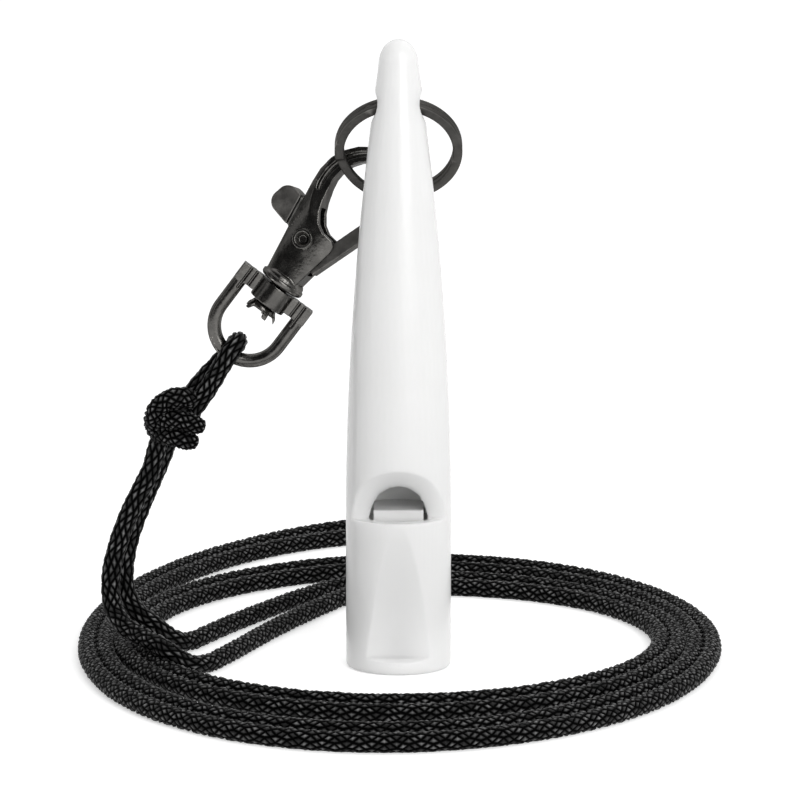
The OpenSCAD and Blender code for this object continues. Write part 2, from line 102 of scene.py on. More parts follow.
def shade_smooth(mesh):
    mesh.polygons.foreach_set("use_smooth", np.ones(len(mesh.polygons), bool))


def close_ends(bm):
    bmesh.ops.holes_fill(bm, edges=[e for e in bm.edges if e.is_boundary], sides=0)
    bmesh.ops.recalc_face_normals(bm, faces=bm.faces)


# %% [markdown]
# ## Camera
# The whistle was photographed from a little above with a long lens, so its sides stay almost
# parallel. A long lens half a metre away gives that flat perspective. The camera looks at a point a
# little below the middle of the whistle.

# %% Camera
CAMERA_AT = Vector((0.19, -500, 111)) * MM
CAMERA_AIM = Vector((0.19, 0, 34.3)) * MM
lens = bpy.data.cameras.new("photo_camera")
lens.lens = 179.55
lens.sensor_width = 36
lens.clip_start = 0.01
lens.clip_end = 30
camera = place_object("photo_camera", lens)
camera.location = CAMERA_AT
camera.rotation_euler = aimed(CAMERA_AT, CAMERA_AIM)
scene.camera = camera
look_down = math.asin((CAMERA_AT - CAMERA_AIM).normalized().z)
print("camera looks down by", round(math.degrees(look_down), 1), "degrees")

# %% [markdown]
# ## Helpers for node trees
# Every finish is a small tree of shader nodes, and these helpers keep the trees readable. The first
# three add a node, join two sockets and start a new material. A grain is a noise that sits on the
# object's own coordinates, so that it moves with the piece. Those are in metres, so a grain of one
# millimetre has a scale of a thousand. A ramp turns a value into a colour, a spread maps it to
# another range, a bump makes it a height, and the last helper takes the larger of two values.

# %% Node helpers
FLOAT_A, FLOAT_B, FLOAT_OUT = 2, 3, 0  # sockets of a mix node for plain values
COLOUR_A, COLOUR_B, COLOUR_OUT = 6, 7, 2  # and for colours


def add_node(tree, kind, **values):
    node = tree.nodes.new(kind)
    for key, value in values.items():
        if hasattr(node, key):
            setattr(node, key, value)
        else:
            node.inputs[key.replace("_", " ")].default_value = value
    return node


def join(tree, source, output, target, socket):
    tree.links.new(source.outputs[output], target.inputs[socket])


def finish_named(name):
    material = bpy.data.materials.new(name)
    material.use_nodes = True
    tree = material.node_tree
    return material, tree, tree.nodes["Principled BSDF"]


def grain(tree, size_mm, detail=3.0, rough=0.55):
    place = add_node(tree, "ShaderNodeTexCoord")
    noise = add_node(tree, "ShaderNodeTexNoise", Scale=1 / (size_mm * MM), Detail=detail,
                     Roughness=rough)
    join(tree, place, "Object", noise, "Vector")
    return noise


def ramp(tree, source, output, stops):
    node = add_node(tree, "ShaderNodeValToRGB")
    bar = node.color_ramp.elements
    while len(bar) < len(stops):
        bar.new(0.5)
    for stop, (place, shade) in zip(bar, stops):
        stop.position = place
        stop.color = (*shade, 1) if isinstance(shade, tuple) else (shade, shade, shade, 1)
    join(tree, source, output, node, "Fac")
    return node


def spread(tree, source, output, low, high, low_in=0.3, high_in=0.7):
    node = add_node(tree, "ShaderNodeMapRange", From_Min=low_in, From_Max=high_in, To_Min=low,
                    To_Max=high)
    join(tree, source, output, node, "Value")
    return node


def bump(tree, shader, source, output, height_mm, strength):
    node = add_node(tree, "ShaderNodeBump", Strength=strength, Distance=height_mm * MM)
    join(tree, source, output, node, "Height")
    join(tree, node, "Normal", shader, "Normal")


def larger(tree, first, first_output, second, second_output):
    node = add_node(tree, "ShaderNodeMath", operation="MAXIMUM")
    join(tree, first, first_output, node, 0)
    join(tree, second, second_output, node, 1)
    return node


# %% [markdown]
# ## Floor
# The whistle stands on a white sweep. The floor takes shadows, and a little glow for the rays of the
# camera, of mirrors and of glass lifts it to white where no shadow falls.

# %% Floor
FLOOR_RADIUS = 9.0  # metres
FLOOR_WHITE = 0.86
FLOOR_GLOW = 0.48
floor_mesh = bpy.data.meshes.new("floor")
bm = bmesh.new()
bmesh.ops.create_circle(bm, cap_ends=True, radius=FLOOR_RADIUS, segments=64)
bm.to_mesh(floor_mesh)
bm.free()
floor = place_object("floor", floor_mesh)
floor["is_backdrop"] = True

paper = bpy.data.materials.new("white_sweep")
paper.use_nodes = True
tree = paper.node_tree
tree.nodes.clear()
seen = add_node(tree, "ShaderNodeLightPath")
mirror = larger(tree, seen, "Is Camera Ray", seen, "Is Glossy Ray")
through = larger(tree, mirror, "Value", seen, "Is Transmission Ray")
glow = add_node(tree, "ShaderNodeMath", operation="MULTIPLY")
glow.inputs[1].default_value = FLOOR_GLOW
lit = add_node(tree, "ShaderNodeEmission", Color=(1, 1, 1, 1))
matt = add_node(tree, "ShaderNodeBsdfDiffuse", Color=(FLOOR_WHITE, FLOOR_WHITE, FLOOR_WHITE, 1))
both = add_node(tree, "ShaderNodeAddShader")
out = add_node(tree, "ShaderNodeOutputMaterial")
join(tree, through, "Value", glow, 0)
join(tree, glow, "Value", lit, "Strength")
join(tree, matt, "BSDF", both, 0)
join(tree, lit, "Emission", both, 1)
join(tree, both, "Shader", out, "Surface")
floor_mesh.materials.append(paper)
print("floor radius m:", FLOOR_RADIUS)

# %% [markdown]
# ## World
# The studio is white behind and dim behind the camera. The world answers camera rays and rays that
# pass through glass with plain white. Mirror rays meet the same white behind the object but a dark
# room behind the camera, and this contrast is what makes dark metal look like metal. All other rays
# get a soft light from the room, only a little stronger from behind.

# %% World
FRONT_TO_BACK = (-0.2, 0.5)  # where the change from dim to white begins and ends
ROOM_LIGHT = (0.36, 0.66)
MIRRORED_LIGHT = (0.05, 1.0)
world = bpy.data.worlds.new("studio")
scene.world = world
world.use_nodes = True
tree = world.node_tree
tree.nodes.clear()
seen = add_node(tree, "ShaderNodeLightPath")
where = add_node(tree, "ShaderNodeTexCoord")
split = add_node(tree, "ShaderNodeSeparateXYZ")
room = add_node(tree, "ShaderNodeBackground", Color=(1, 1, 1, 1))
white = add_node(tree, "ShaderNodeBackground", Color=(1, 1, 1, 1), Strength=1.0)
level = add_node(tree, "ShaderNodeMix", data_type="FLOAT")
pick = add_node(tree, "ShaderNodeMixShader")
out = add_node(tree, "ShaderNodeOutputWorld")
join(tree, where, "Generated", split, "Vector")
even = spread(tree, split, "Y", *ROOM_LIGHT, *FRONT_TO_BACK)
mirrored = spread(tree, split, "Y", *MIRRORED_LIGHT, *FRONT_TO_BACK)
join(tree, seen, "Is Glossy Ray", level, "Factor")
join(tree, even, "Result", level, FLOAT_A)
join(tree, mirrored, "Result", level, FLOAT_B)
join(tree, level, FLOAT_OUT, room, "Strength")
clear = larger(tree, seen, "Is Camera Ray", seen, "Is Transmission Ray")
join(tree, clear, "Value", pick, "Fac")
join(tree, room, "Background", pick, 1)
join(tree, white, "Background", pick, 2)
join(tree, pick, "Shader", out, "Surface")
print("world has", len(tree.nodes), "nodes")


# %% [markdown]
# ## Lamps
# One large soft lamp stands at the right in front, with a weak strip at the left. A very wide sun
# from above does the work of a pale ceiling. Places and sizes are in metres.

# %% Lamps
def softbox(name, at, aim, size, watts):
    lamp = bpy.data.lights.new(name, "AREA")
    lamp.shape = "RECTANGLE"
    lamp.size, lamp.size_y = size
    lamp.energy = watts
    box = place_object(name, lamp)
    box.location = at
    box.rotation_euler = aimed(at, aim)


softbox("key_right", at=(0.36, -0.76, 0.40), aim=(0, 0, 0.04), size=(0.5, 0.6), watts=4.5)
softbox("strip_left", at=(-0.62, -0.30, 0.30), aim=(0, 0, 0.05), size=(0.16, 0.6), watts=0.2)
ceiling = bpy.data.lights.new("ceiling", "SUN")
ceiling.energy = 0.55
ceiling.angle = math.radians(70)
above = place_object("ceiling", ceiling)
above.rotation_euler = (math.radians(-12), math.radians(8), 0)

# %% [markdown]
# ## The cord's line
# The cord is one piece of braid. It leaves the knot, passes round the bar of the swivel eye, comes
# back through the knot, hangs down to the table, lies there in a doubled coil of two loops, turns
# back in a bight, and returns to the knot beside itself. Much the same numbers place the CAD solids.
# All of them are millimetres. A coil is easier to write than to draw: an ellipse whose half axes
# grow with the turn. Near its end the coil opens towards the back, and its two strands splay to make
# room for the bight.

# %% Clasp and coil
CORD_D = 2.3
CORD_R = CORD_D / 2
CLASP_AT = Vector((-14.7, 8.1, 48.6))
CLASP_LEAN = math.radians(37)
CLASP = Matrix.Translation(CLASP_AT) @ Matrix.Rotation(CLASP_LEAN, 4, "Y")
LOOPS = 2
COIL_STOPS = 48  # in each loop
COIL_X, COIL_Y = 1.2, 12
HALF_X, HALF_X_GROWTH = 31.9, 4.35
HALF_Y, HALF_Y_GROWTH = 35.3, 12.6
OPENS_AT, OPENING = 1.25, 30
SPLAYS_AT, SPLAY_OVER = 1.9, 0.1
STRAND_STEP = 2.2  # from the inner to the outer strand, from side to side
APART, APART_AT_BIGHT = 5.4, 9.2  # the same, from front to back
BIGHT_R = APART_AT_BIGHT / 2
BIGHT_STEP = 15  # degrees


def at_clasp(x, y, z):
    return CLASP @ Vector((x, y, z))


def coil_point(n, outer):
    a = math.radians(90 - 360 * n)
    opening = max(0, n - OPENS_AT)
    splay = max(0, n - SPLAYS_AT) / SPLAY_OVER
    apart = APART * (1 - splay) + APART_AT_BIGHT * splay
    half_x = HALF_X + HALF_X_GROWTH * n + STRAND_STEP * outer
    half_y = HALF_Y + HALF_Y_GROWTH * n + OPENING * opening ** 2 + (outer - 0.5) * apart
    return Vector((COIL_X + half_x * math.cos(a), COIL_Y + half_y * math.sin(a), CORD_R))


def bight():
    start = coil_point(LOOPS, 0)
    for i in range(1, 180 // BIGHT_STEP):
        a = math.radians(90 - BIGHT_STEP * i)
        yield start + BIGHT_R * Vector((math.cos(a), 1 + math.sin(a), 0))


in_coil = [i / COIL_STOPS for i in range(1, COIL_STOPS * LOOPS + 1)]
print("stops in each strand of the coil:", len(in_coil))

# %% [markdown]
# ## Round the eye and down
# The two hanging strands follow no formula, so their stops are listed one by one. Round the eye, the
# line is half a loop, a round turn under the bar and the same half mirrored. There a stop is given
# by half gaps aside and by its height over the knot, and the strands twist a little about each other
# where they leave the knot.

# %% Whole line of the cord
KNOT_Z = -22.7
KNOT_REACH = 10.8
WRAP_R = 2.17
WRAP_STEPS = 8
HALF_GAP = (CORD_D + 0.15) / 2
TWIST = 0.6
TWIST_END, TWIST_OVER = 9.5, 4
back_drop = [(-30.9, 9.2, 24.6), (-32.1, 9.0, 21.9), (-33.4, 8.9, 18.9), (-34.6, 8.8, 15.7),
             (-35.4, 8.7, 12.5), (-35.6, 8.4, 9.5), (-35.0, 7.8, 7.0), (-33.6, 7.0, 5.1),
             (-31.6, 6.4, 3.9), (-30.1, 5.9, 2.7), (-28.7, 6.5, 1.8), (-27.2, 8.8, 1.2),
             (-25.2, 13.2, 1.15), (-22.8, 18.8, 1.15), (-20.0, 24.8, 1.15), (-17.0, 30.8, 1.15),
             (-13.8, 36.8, 1.15), (-10.4, 42.2, 1.15), (-7.2, 46.2, 1.15), (-3.8, 48.8, 1.15),
             (-0.6, 50.0, 1.15)]
front_drop = [(-31.9, 7.0, 24.2), (-33.3, 6.7, 21.4), (-34.8, 6.4, 18.4), (-36.0, 6.2, 15.2),
              (-36.9, 6.0, 12.0), (-37.2, 5.5, 9.0), (-36.8, 4.2, 6.6), (-35.5, 2.2, 4.9),
              (-33.4, -0.4, 4.1), (-31.6, -3.0, 3.8), (-30.0, -5.2, 3.5), (-28.3, -6.7, 2.6),
              (-26.5, -6.7, 1.6), (-24.5, -4.6, 1.15), (-22.5, -0.2, 1.15), (-20.2, 6.2, 1.15),
              (-17.9, 13.0, 1.15), (-15.3, 20.0, 1.15), (-12.6, 26.6, 1.15), (-9.9, 32.8, 1.15),
              (-7.2, 38.2, 1.15), (-4.4, 41.9, 1.15), (-1.2, 43.6, 1.15)]
loop_half = [(-1, 0.3), (-1, 2.6), (-1, 4.9), (-1.35, 8.2)]
wrap = [math.radians(180 - 180 / WRAP_STEPS * i) for i in range(WRAP_STEPS + 1)]
loop_turn = [(WRAP_R * math.cos(a) / HALF_GAP, KNOT_REACH + WRAP_R * math.sin(a)) for a in wrap]
loop_all = loop_half + loop_turn + [(-p, q) for p, q in loop_half[:0:-1]]


def loop_point(aside, up):
    twisted = min(1, max(0, TWIST_END - up) / TWIST_OVER)
    return at_clasp(-TWIST * aside * twisted, aside * HALF_GAP, KNOT_Z + up)


cord_stops = [loop_point(p, q) for p, q in loop_all]
cord_stops += [at_clasp(x, HALF_GAP, KNOT_Z + q) for x, q in ((0, 0), (0.5, -2.6))]
cord_stops += [Vector(p) for p in back_drop]
cord_stops += [coil_point(n, 1) for n in in_coil]
cord_stops += list(bight())
cord_stops += [coil_point(n, 0) for n in reversed(in_coil)]
cord_stops += [Vector(p) for p in reversed(front_drop)]
cord_stops += [at_clasp(x, -HALF_GAP, KNOT_Z + q) for x, q in ((-0.5, -2.6), (0, -0.3))]
print("stops along the cord:", len(cord_stops))

# %% [markdown]
# ## Rows of the braid
# The stops are joined by a smooth line, and the rows of stitches are set along it. Where the cord
# hangs, its weight draws the stitches out, so the rows lie further apart there.

# %% Rows along a line
ROW = 0.7
KNOT_ROW = 0.3
DRAWN = 0.45
HANG_FROM, HANG_OVER = 2, 6  # heights over the table
FINE = 0.05


def run_along(points):
    return np.concatenate([[0], np.cumsum(np.linalg.norm(np.diff(points, axis=0), axis=1))])


def smooth_line(stops, row=ROW):
    stops = np.array([tuple(p) for p in stops])
    at = run_along(stops)
    slope = np.gradient(stops, at, axis=0)
    fine = np.linspace(0, at[-1], int(at[-1] / FINE))
    k = np.clip(np.searchsorted(at, fine, "right") - 1, 0, len(at) - 2)
    width = (at[k + 1] - at[k])[:, None]
    s = (fine - at[k])[:, None] / width
    line = ((1 + 2 * s) * (1 - s) ** 2 * stops[k] + s * (1 - s) ** 2 * width * slope[k]
            + s * s * (3 - 2 * s) * stops[k + 1] + s * s * (s - 1) * width * slope[k + 1])
    run = run_along(line)
    rows = [0.0]
    while rows[-1] < run[-1] - row:
        lift = np.interp(rows[-1], run, line[:, 2])
        hang = min(1, max(0, lift - HANG_FROM) / HANG_OVER)
        rows.append(rows[-1] + row * (1 + DRAWN * hang))
    return np.stack([np.interp(rows, run, line[:, i]) for i in range(3)], 1), rows[-1]


cord_line, cord_length = smooth_line(cord_stops)
print("rows along the cord:", len(cord_line))

# %% [markdown]
# ## A braided cord
# A real braid shows rows of small plump stitches, each row set half a stitch aside from the last. A
# bump texture can fake this from far away, but the edge of the cord would stay smooth. Here each
# stitch is geometry, and it starts from a tube: a round curve bevel gives two points for each
# stitch. A run with a closed end is drawn in there to a round tip. No braid is quite even, so the
# points stray a little. Every fourth row is turned a little one way and the row halfway between them
# the other way, so that the stitches slant to and fro as the crossing yarns do.

# %% Tube of the braid
STITCHES = 8
SIDES = 2 * STITCHES
HOLLOW = 0.88
SLANT = math.radians(11)
STRAY = 0.03
TIP_SHARE = 0.97
dice = np.random.default_rng(5)


def tube(name, lines, radius, closed_end):
    route = bpy.data.curves.new(name + "_route", "CURVE")
    route.dimensions = "3D"
    route.twist_mode = "MINIMUM"
    route.bevel_depth = radius * MM
    route.bevel_resolution = STITCHES - 2
    for line in lines:
        run = route.splines.new("POLY")
        run.points.add(len(line) - 1)
        run.points.foreach_set("co", np.column_stack([line * MM, np.ones(len(line))]).ravel())
        if closed_end:
            left = np.arange(len(line))[::-1] * closed_end
            share = np.clip(1 - left / radius, 0, TIP_SHARE)
            run.points.foreach_set("radius", np.sqrt(1 - share ** 2))
    holder = place_object(name + "_route", route)
    mesh = evaluated_mesh(holder)
    bpy.data.objects.remove(holder)
    mesh.name = name
    return mesh


def slant_rows(mesh, centre):
    place = np.empty(len(mesh.vertices) * 3)
    mesh.vertices.foreach_get("co", place)
    place = place.reshape(len(centre), SIDES, 3) / MM
    ahead = np.gradient(centre, axis=0)
    ahead /= np.linalg.norm(ahead, axis=1)[:, None]
    turn = SLANT * np.sin(np.pi / 2 * np.arange(len(centre)))[:, None, None]
    spoke = HOLLOW * (place - centre[:, None])
    across = np.cross(ahead[:, None], spoke)
    place = centre[:, None] + np.cos(turn) * spoke + np.sin(turn) * across
    place += dice.normal(0, STRAY, place.shape)
    mesh.vertices.foreach_set("co", (place * MM).ravel())


# %% [markdown]
# ## Plump stitches
# Every second point of the tube, as on a chequerboard, is a corner between stitches. The quads are
# cut between those corners, the points in the middle are dissolved, and what is left is a net of
# diamonds. Each diamond is inset, raised and poked to a low dome, which makes it a plump stitch. An
# attribute runs from 0 in the hollows to 1 on the brightest crowns, so that the finish can paint
# shade into the hollows and a highlight onto the crowns. No two crowns get an equally bright painted
# highlight.

# %% Stitches of the braid
STITCH_RIM = 0.11
STITCH_RISE = 0.19
STITCH_DOME = 0.15
SHOULDER = 0.35
# strength of the painted highlight on each crown, picked at random in this range
CROWN_HIGHLIGHT_RANGE = (0.4, 1)


def net_of_diamonds(bm, rows):
    middle = ((np.arange(rows)[:, None] + np.arange(SIDES)[None, :]) % 2 == 0).ravel()
    corners = [v for v, inside in zip(bm.verts, middle) if not inside]
    inner = [v for v, inside in zip(bm.verts, middle) if inside and not v.is_boundary]
    bmesh.ops.connect_verts(bm, verts=corners)
    bmesh.ops.dissolve_verts(bm, verts=inner)
    return [f for f in bm.faces if len(f.verts) == 4]


def raise_stitches(bm, diamonds):
    bmesh.ops.inset_individual(bm, faces=diamonds, thickness=STITCH_RIM * MM,
                               depth=STITCH_RISE * MM, use_even_offset=True)
    # this layer masks painted shade in the hollows and a painted highlight on the crowns
    stitch_shade_and_highlight = bm.verts.layers.float.new("stitch")
    for face in diamonds:
        for v in face.verts:
            v[stitch_shade_and_highlight] = SHOULDER
    crowns = bmesh.ops.poke(bm, faces=diamonds, offset=STITCH_DOME * MM)
    for v, bright in zip(crowns["verts"], dice.uniform(*CROWN_HIGHLIGHT_RANGE, len(diamonds))):
        v[stitch_shade_and_highlight] = bright


def braid(name, lines, radius, closed_end=None):
    mesh = tube(name, lines, radius, closed_end)
    centre = np.concatenate(lines)
    slant_rows(mesh, centre)
    bm = bmesh.new()
    bm.from_mesh(mesh)
    diamonds = net_of_diamonds(bm, len(centre))
    close_ends(bm)
    raise_stitches(bm, diamonds)
    bmesh.ops.triangulate(bm, faces=bm.faces)
    bm.to_mesh(mesh)
    bm.free()
    shade_smooth(mesh)
    print(name, "triangles:", len(mesh.polygons))
    return place_object(name, mesh)


# %% [markdown]
# ## Black braid
# The yarn is black polyester. Shade is painted into its hollows as dark as soot, and a highlight is
# painted onto the crowns of the stitches, so that they look dark grey, with a dull shine. The stitch
# attribute sets this painted shade and painted highlight in the base colour, and takes the shine out
# of the hollows; the painted shade stands in for light that falls between the yarns and hardly comes
# out again. One noise makes the tone and the gloss uneven, and a finer one roughens the yarn.

# %% Black braid
# base colour by the stitch attribute: painted shade in the hollows, painted highlight on the crowns
YARN_PAINTED_SHADE_AND_HIGHLIGHT = [(0.0, 0.0003), (0.28, 0.0012), (0.36, 0.010), (0.46, 0.045), (0.58, 0.10),
               (0.78, 0.20), (1.0, 0.30)]
black_braid, tree, yarn = finish_named("black_braid")
stitch_shade_and_highlight = add_node(tree, "ShaderNodeAttribute", attribute_name="stitch")
painted_shade_and_highlight = ramp(tree, stitch_shade_and_highlight, "Fac", YARN_PAINTED_SHADE_AND_HIGHLIGHT)
speckle = grain(tree, size_mm=0.7, detail=4)
lights = ramp(tree, speckle, "Fac", [(0.35, 0.2), (0.62, 1.0)])
tone = add_node(tree, "ShaderNodeMix", data_type="RGBA", blend_type="MULTIPLY", Factor=0.5)
join(tree, painted_shade_and_highlight, "Color", tone, COLOUR_A)
join(tree, lights, "Color", tone, COLOUR_B)
join(tree, tone, COLOUR_OUT, yarn, "Base Color")
fibre = grain(tree, size_mm=0.12, detail=2)
bump(tree, yarn, fibre, "Fac", height_mm=0.06, strength=0.8)
gloss = spread(tree, speckle, "Fac", low=0.40, high=0.60)
join(tree, gloss, "Result", yarn, "Roughness")
shine = spread(tree, stitch_shade_and_highlight, "Fac", low=0.02, high=0.5, low_in=0.2, high_in=1.0)
join(tree, shine, "Result", yarn, "Specular IOR Level")
print("black braid has", len(tree.nodes), "nodes")

# %% [markdown]
# ## Neck cord and knot
# The knot gathers both strands under the eye. One thick turn arches over them from the right, round
# the left and behind, with a shorter one under it. The two cut ends come out to the right, melted
# round so that they don't fray. The turns and the ends are short runs of the same braid, a little
# thicker and more tightly set, laid in the clasp's own frame.

# %% Neck cord and knot
KNOT_CORD_R = 1.24
neck_cord = braid("neck_cord", [cord_line], CORD_R)
neck_cord.data.materials.append(black_braid)
knot_turn = [(0.8, 1.4, 1.9), (-0.1, -0.9, 2.9), (-1.2, -2.7, 3.3), (-2.2, -3.5, 2.7),
             (-3.0, -3.6, 1.3), (-3.1, -3.1, -0.6), (-2.2, -1.7, -2.1), (-0.6, 0.5, -2.9),
             (1.0, 2.7, -2.6), (1.6, 3.4, -0.5)]
knot_under = [(-2.4, 0.5, -1.6), (-2.0, -1.5, 0.2), (-0.8, -1.9, 1.7), (0.7, -0.7, 1.6),
              (1.4, 0.9, 1.0)]
upper_tail = [(-1.6, -1.1, -1.9), (-1.3, -2.7, -0.7), (-0.6, -3.8, 0.4), (0.8, -4.2, 1.1),
              (2.1, -4.1, 1.5), (3.1, -3.9, 1.9)]
lower_tail = [(-0.8, -0.7, -3.2), (-0.3, -2.5, -2.2), (0.9, -3.6, -1.4), (2.3, -3.9, -0.8),
              (3.7, -3.7, -0.3)]


def knot_run(points):
    return smooth_line([at_clasp(x, y, KNOT_Z + z) for x, y, z in points], KNOT_ROW)[0]


knot_runs = [knot_run(p) for p in (knot_turn, knot_under, upper_tail, lower_tail)]
stopper_knot = braid("stopper_knot_tied", knot_runs, KNOT_CORD_R, KNOT_ROW)
stopper_knot.data.materials.append(black_braid)
for piece, stands_for in (
        (neck_cord, ("eye_loop", "drop_strand_back", "drop_strand_front", "cord_coil")),
        (stopper_knot, ("stopper_knot",))):
    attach(piece, "lanyard")
    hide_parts(*stands_for)
print("cord length mm:", round(cord_length))

# %% [markdown]
# ## Gunmetal
# The clasp is a zinc casting with a dark glossy plating. Plated castings are never quite even: the
# surface swims a little, the polish wears off along the edges, and fine pits stay from the mould.
# The colour and the roughness vary with one noise, and a second noise drives the bump. Edges found
# by
# the pointiness of the mesh are paler: partly wear through the polish, partly a painted highlight
# along the edges. The trigger has a paler plating with a satin finish. The ring and the spring are
# wire, which is smoother, so their bump is weaker.

# %% Gunmetal
def warm(shade):
    return (shade, shade * 0.97, shade * 0.92)


def plated(name, dark, light, edge_wear_and_highlight, rough, swim_mm, swim_height):
    material, tree, metal = finish_named(name)
    metal.inputs["Metallic"].default_value = 1.0
    metal.inputs["Specular Tint"].default_value = (0.4, 0.4, 0.4, 1)
    cloud = grain(tree, size_mm=1.6, detail=4)
    tone = ramp(tree, cloud, "Fac", [(0.3, warm(dark)), (0.7, warm(light))])
    form = add_node(tree, "ShaderNodeNewGeometry")
    # paler edges: partly wear through the polish, partly a painted highlight along the edges
    worn_and_highlit_edges = ramp(tree, form, "Pointiness", [(0.56, 0.0), (0.68, 1.0)])
    both = add_node(tree, "ShaderNodeMix", data_type="RGBA")
    join(tree, worn_and_highlit_edges, "Color", both, "Factor")
    join(tree, tone, "Color", both, COLOUR_A)
    both.inputs[COLOUR_B].default_value = (*warm(edge_wear_and_highlight), 1)
    join(tree, both, COLOUR_OUT, metal, "Base Color")
    polish = spread(tree, cloud, "Fac", *rough)
    join(tree, polish, "Result", metal, "Roughness")
    swim = grain(tree, swim_mm)
    bump(tree, metal, swim, "Fac", swim_height, strength=0.7)
    print(name, "has", len(tree.nodes), "nodes")
    return material


gunmetal = plated("gunmetal", dark=0.08, light=0.155, edge_wear_and_highlight=0.40, rough=(0.17, 0.30),
                  swim_mm=0.35, swim_height=0.03)
ring_steel = plated("ring_steel", dark=0.065, light=0.10, edge_wear_and_highlight=0.22, rough=(0.32, 0.44),
                    swim_mm=0.4, swim_height=0.012)
satin_gunmetal = plated("satin_gunmetal", dark=0.12, light=0.20, edge_wear_and_highlight=0.40, rough=(0.38, 0.50),
                        swim_mm=0.6, swim_height=0.02)
spring_steel = plated("spring_steel", dark=0.42, light=0.55, edge_wear_and_highlight=0.6, rough=(0.22, 0.32),
                      swim_mm=0.4, swim_height=0.006)

# %% [markdown]
# ## Castings
# A casting has no sharp edge: metal won't fill one, and tumbling takes the rest away. The CAD solids
# of the clasp have the right shapes with crisp edges, so each piece starts from a copy of its solid.
# A voxel remesh gives that copy an even skin, and a few passes of smoothing round every edge by a
# few tenths of a millimetre. A bevel on so many crossing edges would tear, and this can't. A remesh
# can leave a stray speck of a few faces beside the skin, so islands with few points are dropped.

# %% Castings
SAME_POINT = 0.001
SPECK = 50


def drop_specks(mesh):
    bm = bmesh.new()
    bm.from_mesh(mesh)
    left = set(bm.verts)
    while left:
        island = [left.pop()]
        for v in island:
            near = [e.other_vert(v) for e in v.link_edges]
            island += [n for n in near if n in left]
            left.difference_update(near)
        if len(island) < SPECK:
            bmesh.ops.delete(bm, geom=island, context="VERTS")
    bm.to_mesh(mesh)
    bm.free()


def casting(name, node, voxel, passes, body, finish, keep=1.0):
    bm = bmesh.new()
    bm.from_mesh(nodes[node].data)
    bmesh.ops.remove_doubles(bm, verts=bm.verts, dist=SAME_POINT * MM)
    mesh = bpy.data.meshes.new(name)
    bm.to_mesh(mesh)
    bm.free()
    piece = place_object(name, mesh)
    skin = piece.modifiers.new("skin", "REMESH")
    skin.mode = "VOXEL"
    skin.voxel_size = voxel * MM
    skin.use_smooth_shade = True
    soft = piece.modifiers.new("soft", "SMOOTH")
    soft.factor = 0.5
    soft.iterations = passes
    thin = piece.modifiers.new("thin", "DECIMATE")
    thin.ratio = keep
    made = evaluated_mesh(piece)
    piece.modifiers.clear()
    drop_specks(made)
    piece.data = made
    made.name = name
    made.materials.clear()
    made.materials.append(finish)
    shade_smooth(made)
    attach(piece, body)
    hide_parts(node)
    print(name, "faces:", len(made.polygons))


casting("swivel_eye_cast", "swivel_eye", voxel=0.08, passes=5, body="eye", finish=gunmetal)
casting("clasp_hook_cast", "clasp_hook", voxel=0.09, passes=8, body="hook", finish=gunmetal)
casting("trigger_cast", "trigger_lever", voxel=0.09, passes=6, body="trigger",
        finish=satin_gunmetal)
casting("rivet_cast", "trigger_rivet", voxel=0.05, passes=3, body="hook", finish=gunmetal)

# %% [markdown]
# ## Split ring
# A split ring is a flat wire wound almost twice, with a short step from the lower turn to the upper
# one. Spin is the tool for it: a rounded rectangle is swept about the ring's axis, level at first,
# then with a small lift at each step, then level again. The ends are closed and the ring is leaned
# into the hole.

# %% Split ring
HOLE_Z = 71.6
RING_R = 7.5
RING_LIFT = 0.35
RING_LEAN = math.radians(126)
RING_START = math.radians(250)
WIRE = (1.2, 0.75)
WIRE_CORNER = 0.16
TURN_STEP = 0.85
SPIN_STEP = 3  # degrees
STEP_TURNS = ((300, 0), (60, 1), (300, 0))  # degrees, and whether the wire rises there
ON_EDGE = Matrix.Rotation(math.radians(90), 3, "X")
TO_METRES = Matrix.Scale(MM, 4)


def wire_piece(name, bm, matrix, finish):
    close_ends(bm)
    bmesh.ops.transform(bm, matrix=matrix, verts=bm.verts)
    mesh = bpy.data.meshes.new(name)
    bm.to_mesh(mesh)
    bm.free()
    shade_smooth(mesh)
    mesh.materials.append(finish)
    print(name, "faces:", len(mesh.polygons))
    return place_object(name, mesh)


bm = bmesh.new()
bmesh.ops.create_grid(bm, x_segments=1, y_segments=1, size=0.5)
bmesh.ops.scale(bm, vec=(*WIRE, 1), verts=bm.verts)
bmesh.ops.bevel(bm, geom=bm.verts[:], offset=WIRE_CORNER, segments=4, profile=0.5,
                affect="VERTICES", material=-1)
bmesh.ops.delete(bm, geom=bm.faces[:], context="FACES_ONLY")
bmesh.ops.rotate(bm, matrix=ON_EDGE, verts=bm.verts)
bmesh.ops.translate(bm, vec=(RING_R, 0, -TURN_STEP / 2), verts=bm.verts)
bmesh.ops.rotate(bm, matrix=Matrix.Rotation(RING_START, 3, "Z"), verts=bm.verts)
last = bm.edges[:] + bm.verts[:]
for angle, rise in STEP_TURNS:
    count = angle // SPIN_STEP
    for i in range(count):
        ease = rise * TURN_STEP * math.pi / 2 / count * math.sin(math.pi * (i + 0.5) / count)
        made = bmesh.ops.spin(bm, geom=last, cent=(0, 0, 0), axis=(0, 0, 1), dvec=(0, 0, ease),
                              angle=math.radians(SPIN_STEP), steps=1, use_merge=False)
        last = made["geom_last"]
ring_place = (TO_METRES @ Matrix.Translation((0, 0, HOLE_Z)) @ Matrix.Rotation(RING_LEAN, 4, "X")
              @ Matrix.Translation((0, RING_LIFT - RING_R, 0)))
split_ring = wire_piece("split_ring_wound", bm, ring_place, ring_steel)
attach(split_ring, "ring")
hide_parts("split_ring")
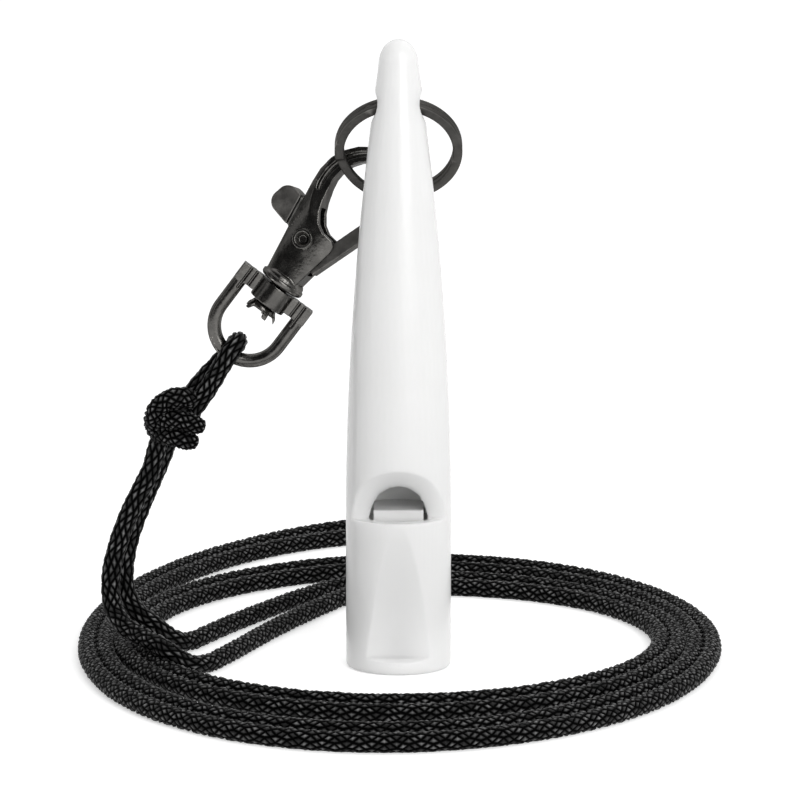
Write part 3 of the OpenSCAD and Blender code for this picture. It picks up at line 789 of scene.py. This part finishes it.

# %% [markdown]
# ## Trigger spring
# A small compression spring under the thumb tab keeps the gate shut. It is wound like the ring, by a
# spin that lifts the wire at each step, only with a round wire. When the tab is pressed the real
# spring shortens; the piece here is wound at one length and gets a mesh of its own.

# %% Trigger spring
HOOK = CLASP @ Matrix.Rotation(math.radians(-18), 4, "Z")
SPRING_FOOT = Vector((-1.9, 0, 2.5))
SPRING_R = 0.6
SPRING_WIRE_R = 0.15
SPRING_RISE = 1.48
SPRING_TURNS = 2.5
SPRING_STEPS = 90
bm = bmesh.new()
bmesh.ops.create_circle(bm, radius=SPRING_WIRE_R, segments=16)
bmesh.ops.rotate(bm, matrix=ON_EDGE, verts=bm.verts)
bmesh.ops.translate(bm, vec=(SPRING_R, 0, SPRING_WIRE_R), verts=bm.verts)
bmesh.ops.spin(bm, geom=bm.edges[:] + bm.verts[:], cent=(0, 0, 0), axis=(0, 0, 1),
               dvec=(0, 0, SPRING_RISE / SPRING_STEPS), angle=math.tau * SPRING_TURNS,
               steps=SPRING_STEPS, use_merge=False)
spring_place = TO_METRES @ HOOK @ Matrix.Translation(SPRING_FOOT)
trigger_spring = wire_piece("trigger_spring_wound", bm, spring_place, spring_steel)
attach(trigger_spring, "hook")
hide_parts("trigger_spring")
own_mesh(trigger_spring)
cad_spring = [[round(v / MM, 2) for v in corner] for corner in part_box("trigger_spring")]
print("box of the CAD spring mm:", cad_spring)

# %% [markdown]
# ## White moulding
# The whistle and its plug are glossy white plastic. A moulding is never one even white: the tone
# drifts a little where the wall is thicker, and the gloss is broken by fine handling marks. Both are
# kept very weak, so that the shape and the light do most of the work. Light also enters the plastic
# by a millimetre or so, which softens its shadows. The whistle is rounded like the castings, and the
# plug inside it stays the CAD solid.

# %% White moulding
white_plastic, tree, shell = finish_named("white_moulding")
drift = grain(tree, size_mm=14, detail=2)
tone = ramp(tree, drift, "Fac", [(0.3, (0.885, 0.885, 0.88)), (0.7, (0.915, 0.915, 0.91))])
join(tree, tone, "Color", shell, "Base Color")
marks = grain(tree, size_mm=4, detail=3, rough=0.5)
gloss = spread(tree, marks, "Fac", low=0.23, high=0.27)
join(tree, gloss, "Result", shell, "Roughness")
peel = grain(tree, size_mm=2.5, detail=2)
bump(tree, shell, peel, "Fac", height_mm=0.002, strength=0.3)
for socket, value in (("IOR", 1.49), ("Subsurface Weight", 1.0), ("Subsurface Radius", (1, 1, 1)),
                      ("Subsurface Scale", 1.5 * MM)):
    shell.inputs[socket].default_value = value
casting("whistle_moulded", "whistle_body", voxel=0.12, passes=10, body="whistle",
        finish=white_plastic, keep=0.27)
nodes["fipple_plug"].data.materials.clear()
nodes["fipple_plug"].data.materials.append(white_plastic)
print("white moulding has", len(tree.nodes), "nodes")

# %% [markdown]
# ## Size
# The growth of each corner of the box over the box of the solids is printed, so that a piece that
# grew out of the solids is seen at once.

# %% Size and finish
visual_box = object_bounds()
grown = [[round((b - a) / MM, 2) for a, b in zip(*pair)] for pair in zip(cad_box, visual_box)]
print("grown by mm:", grown)
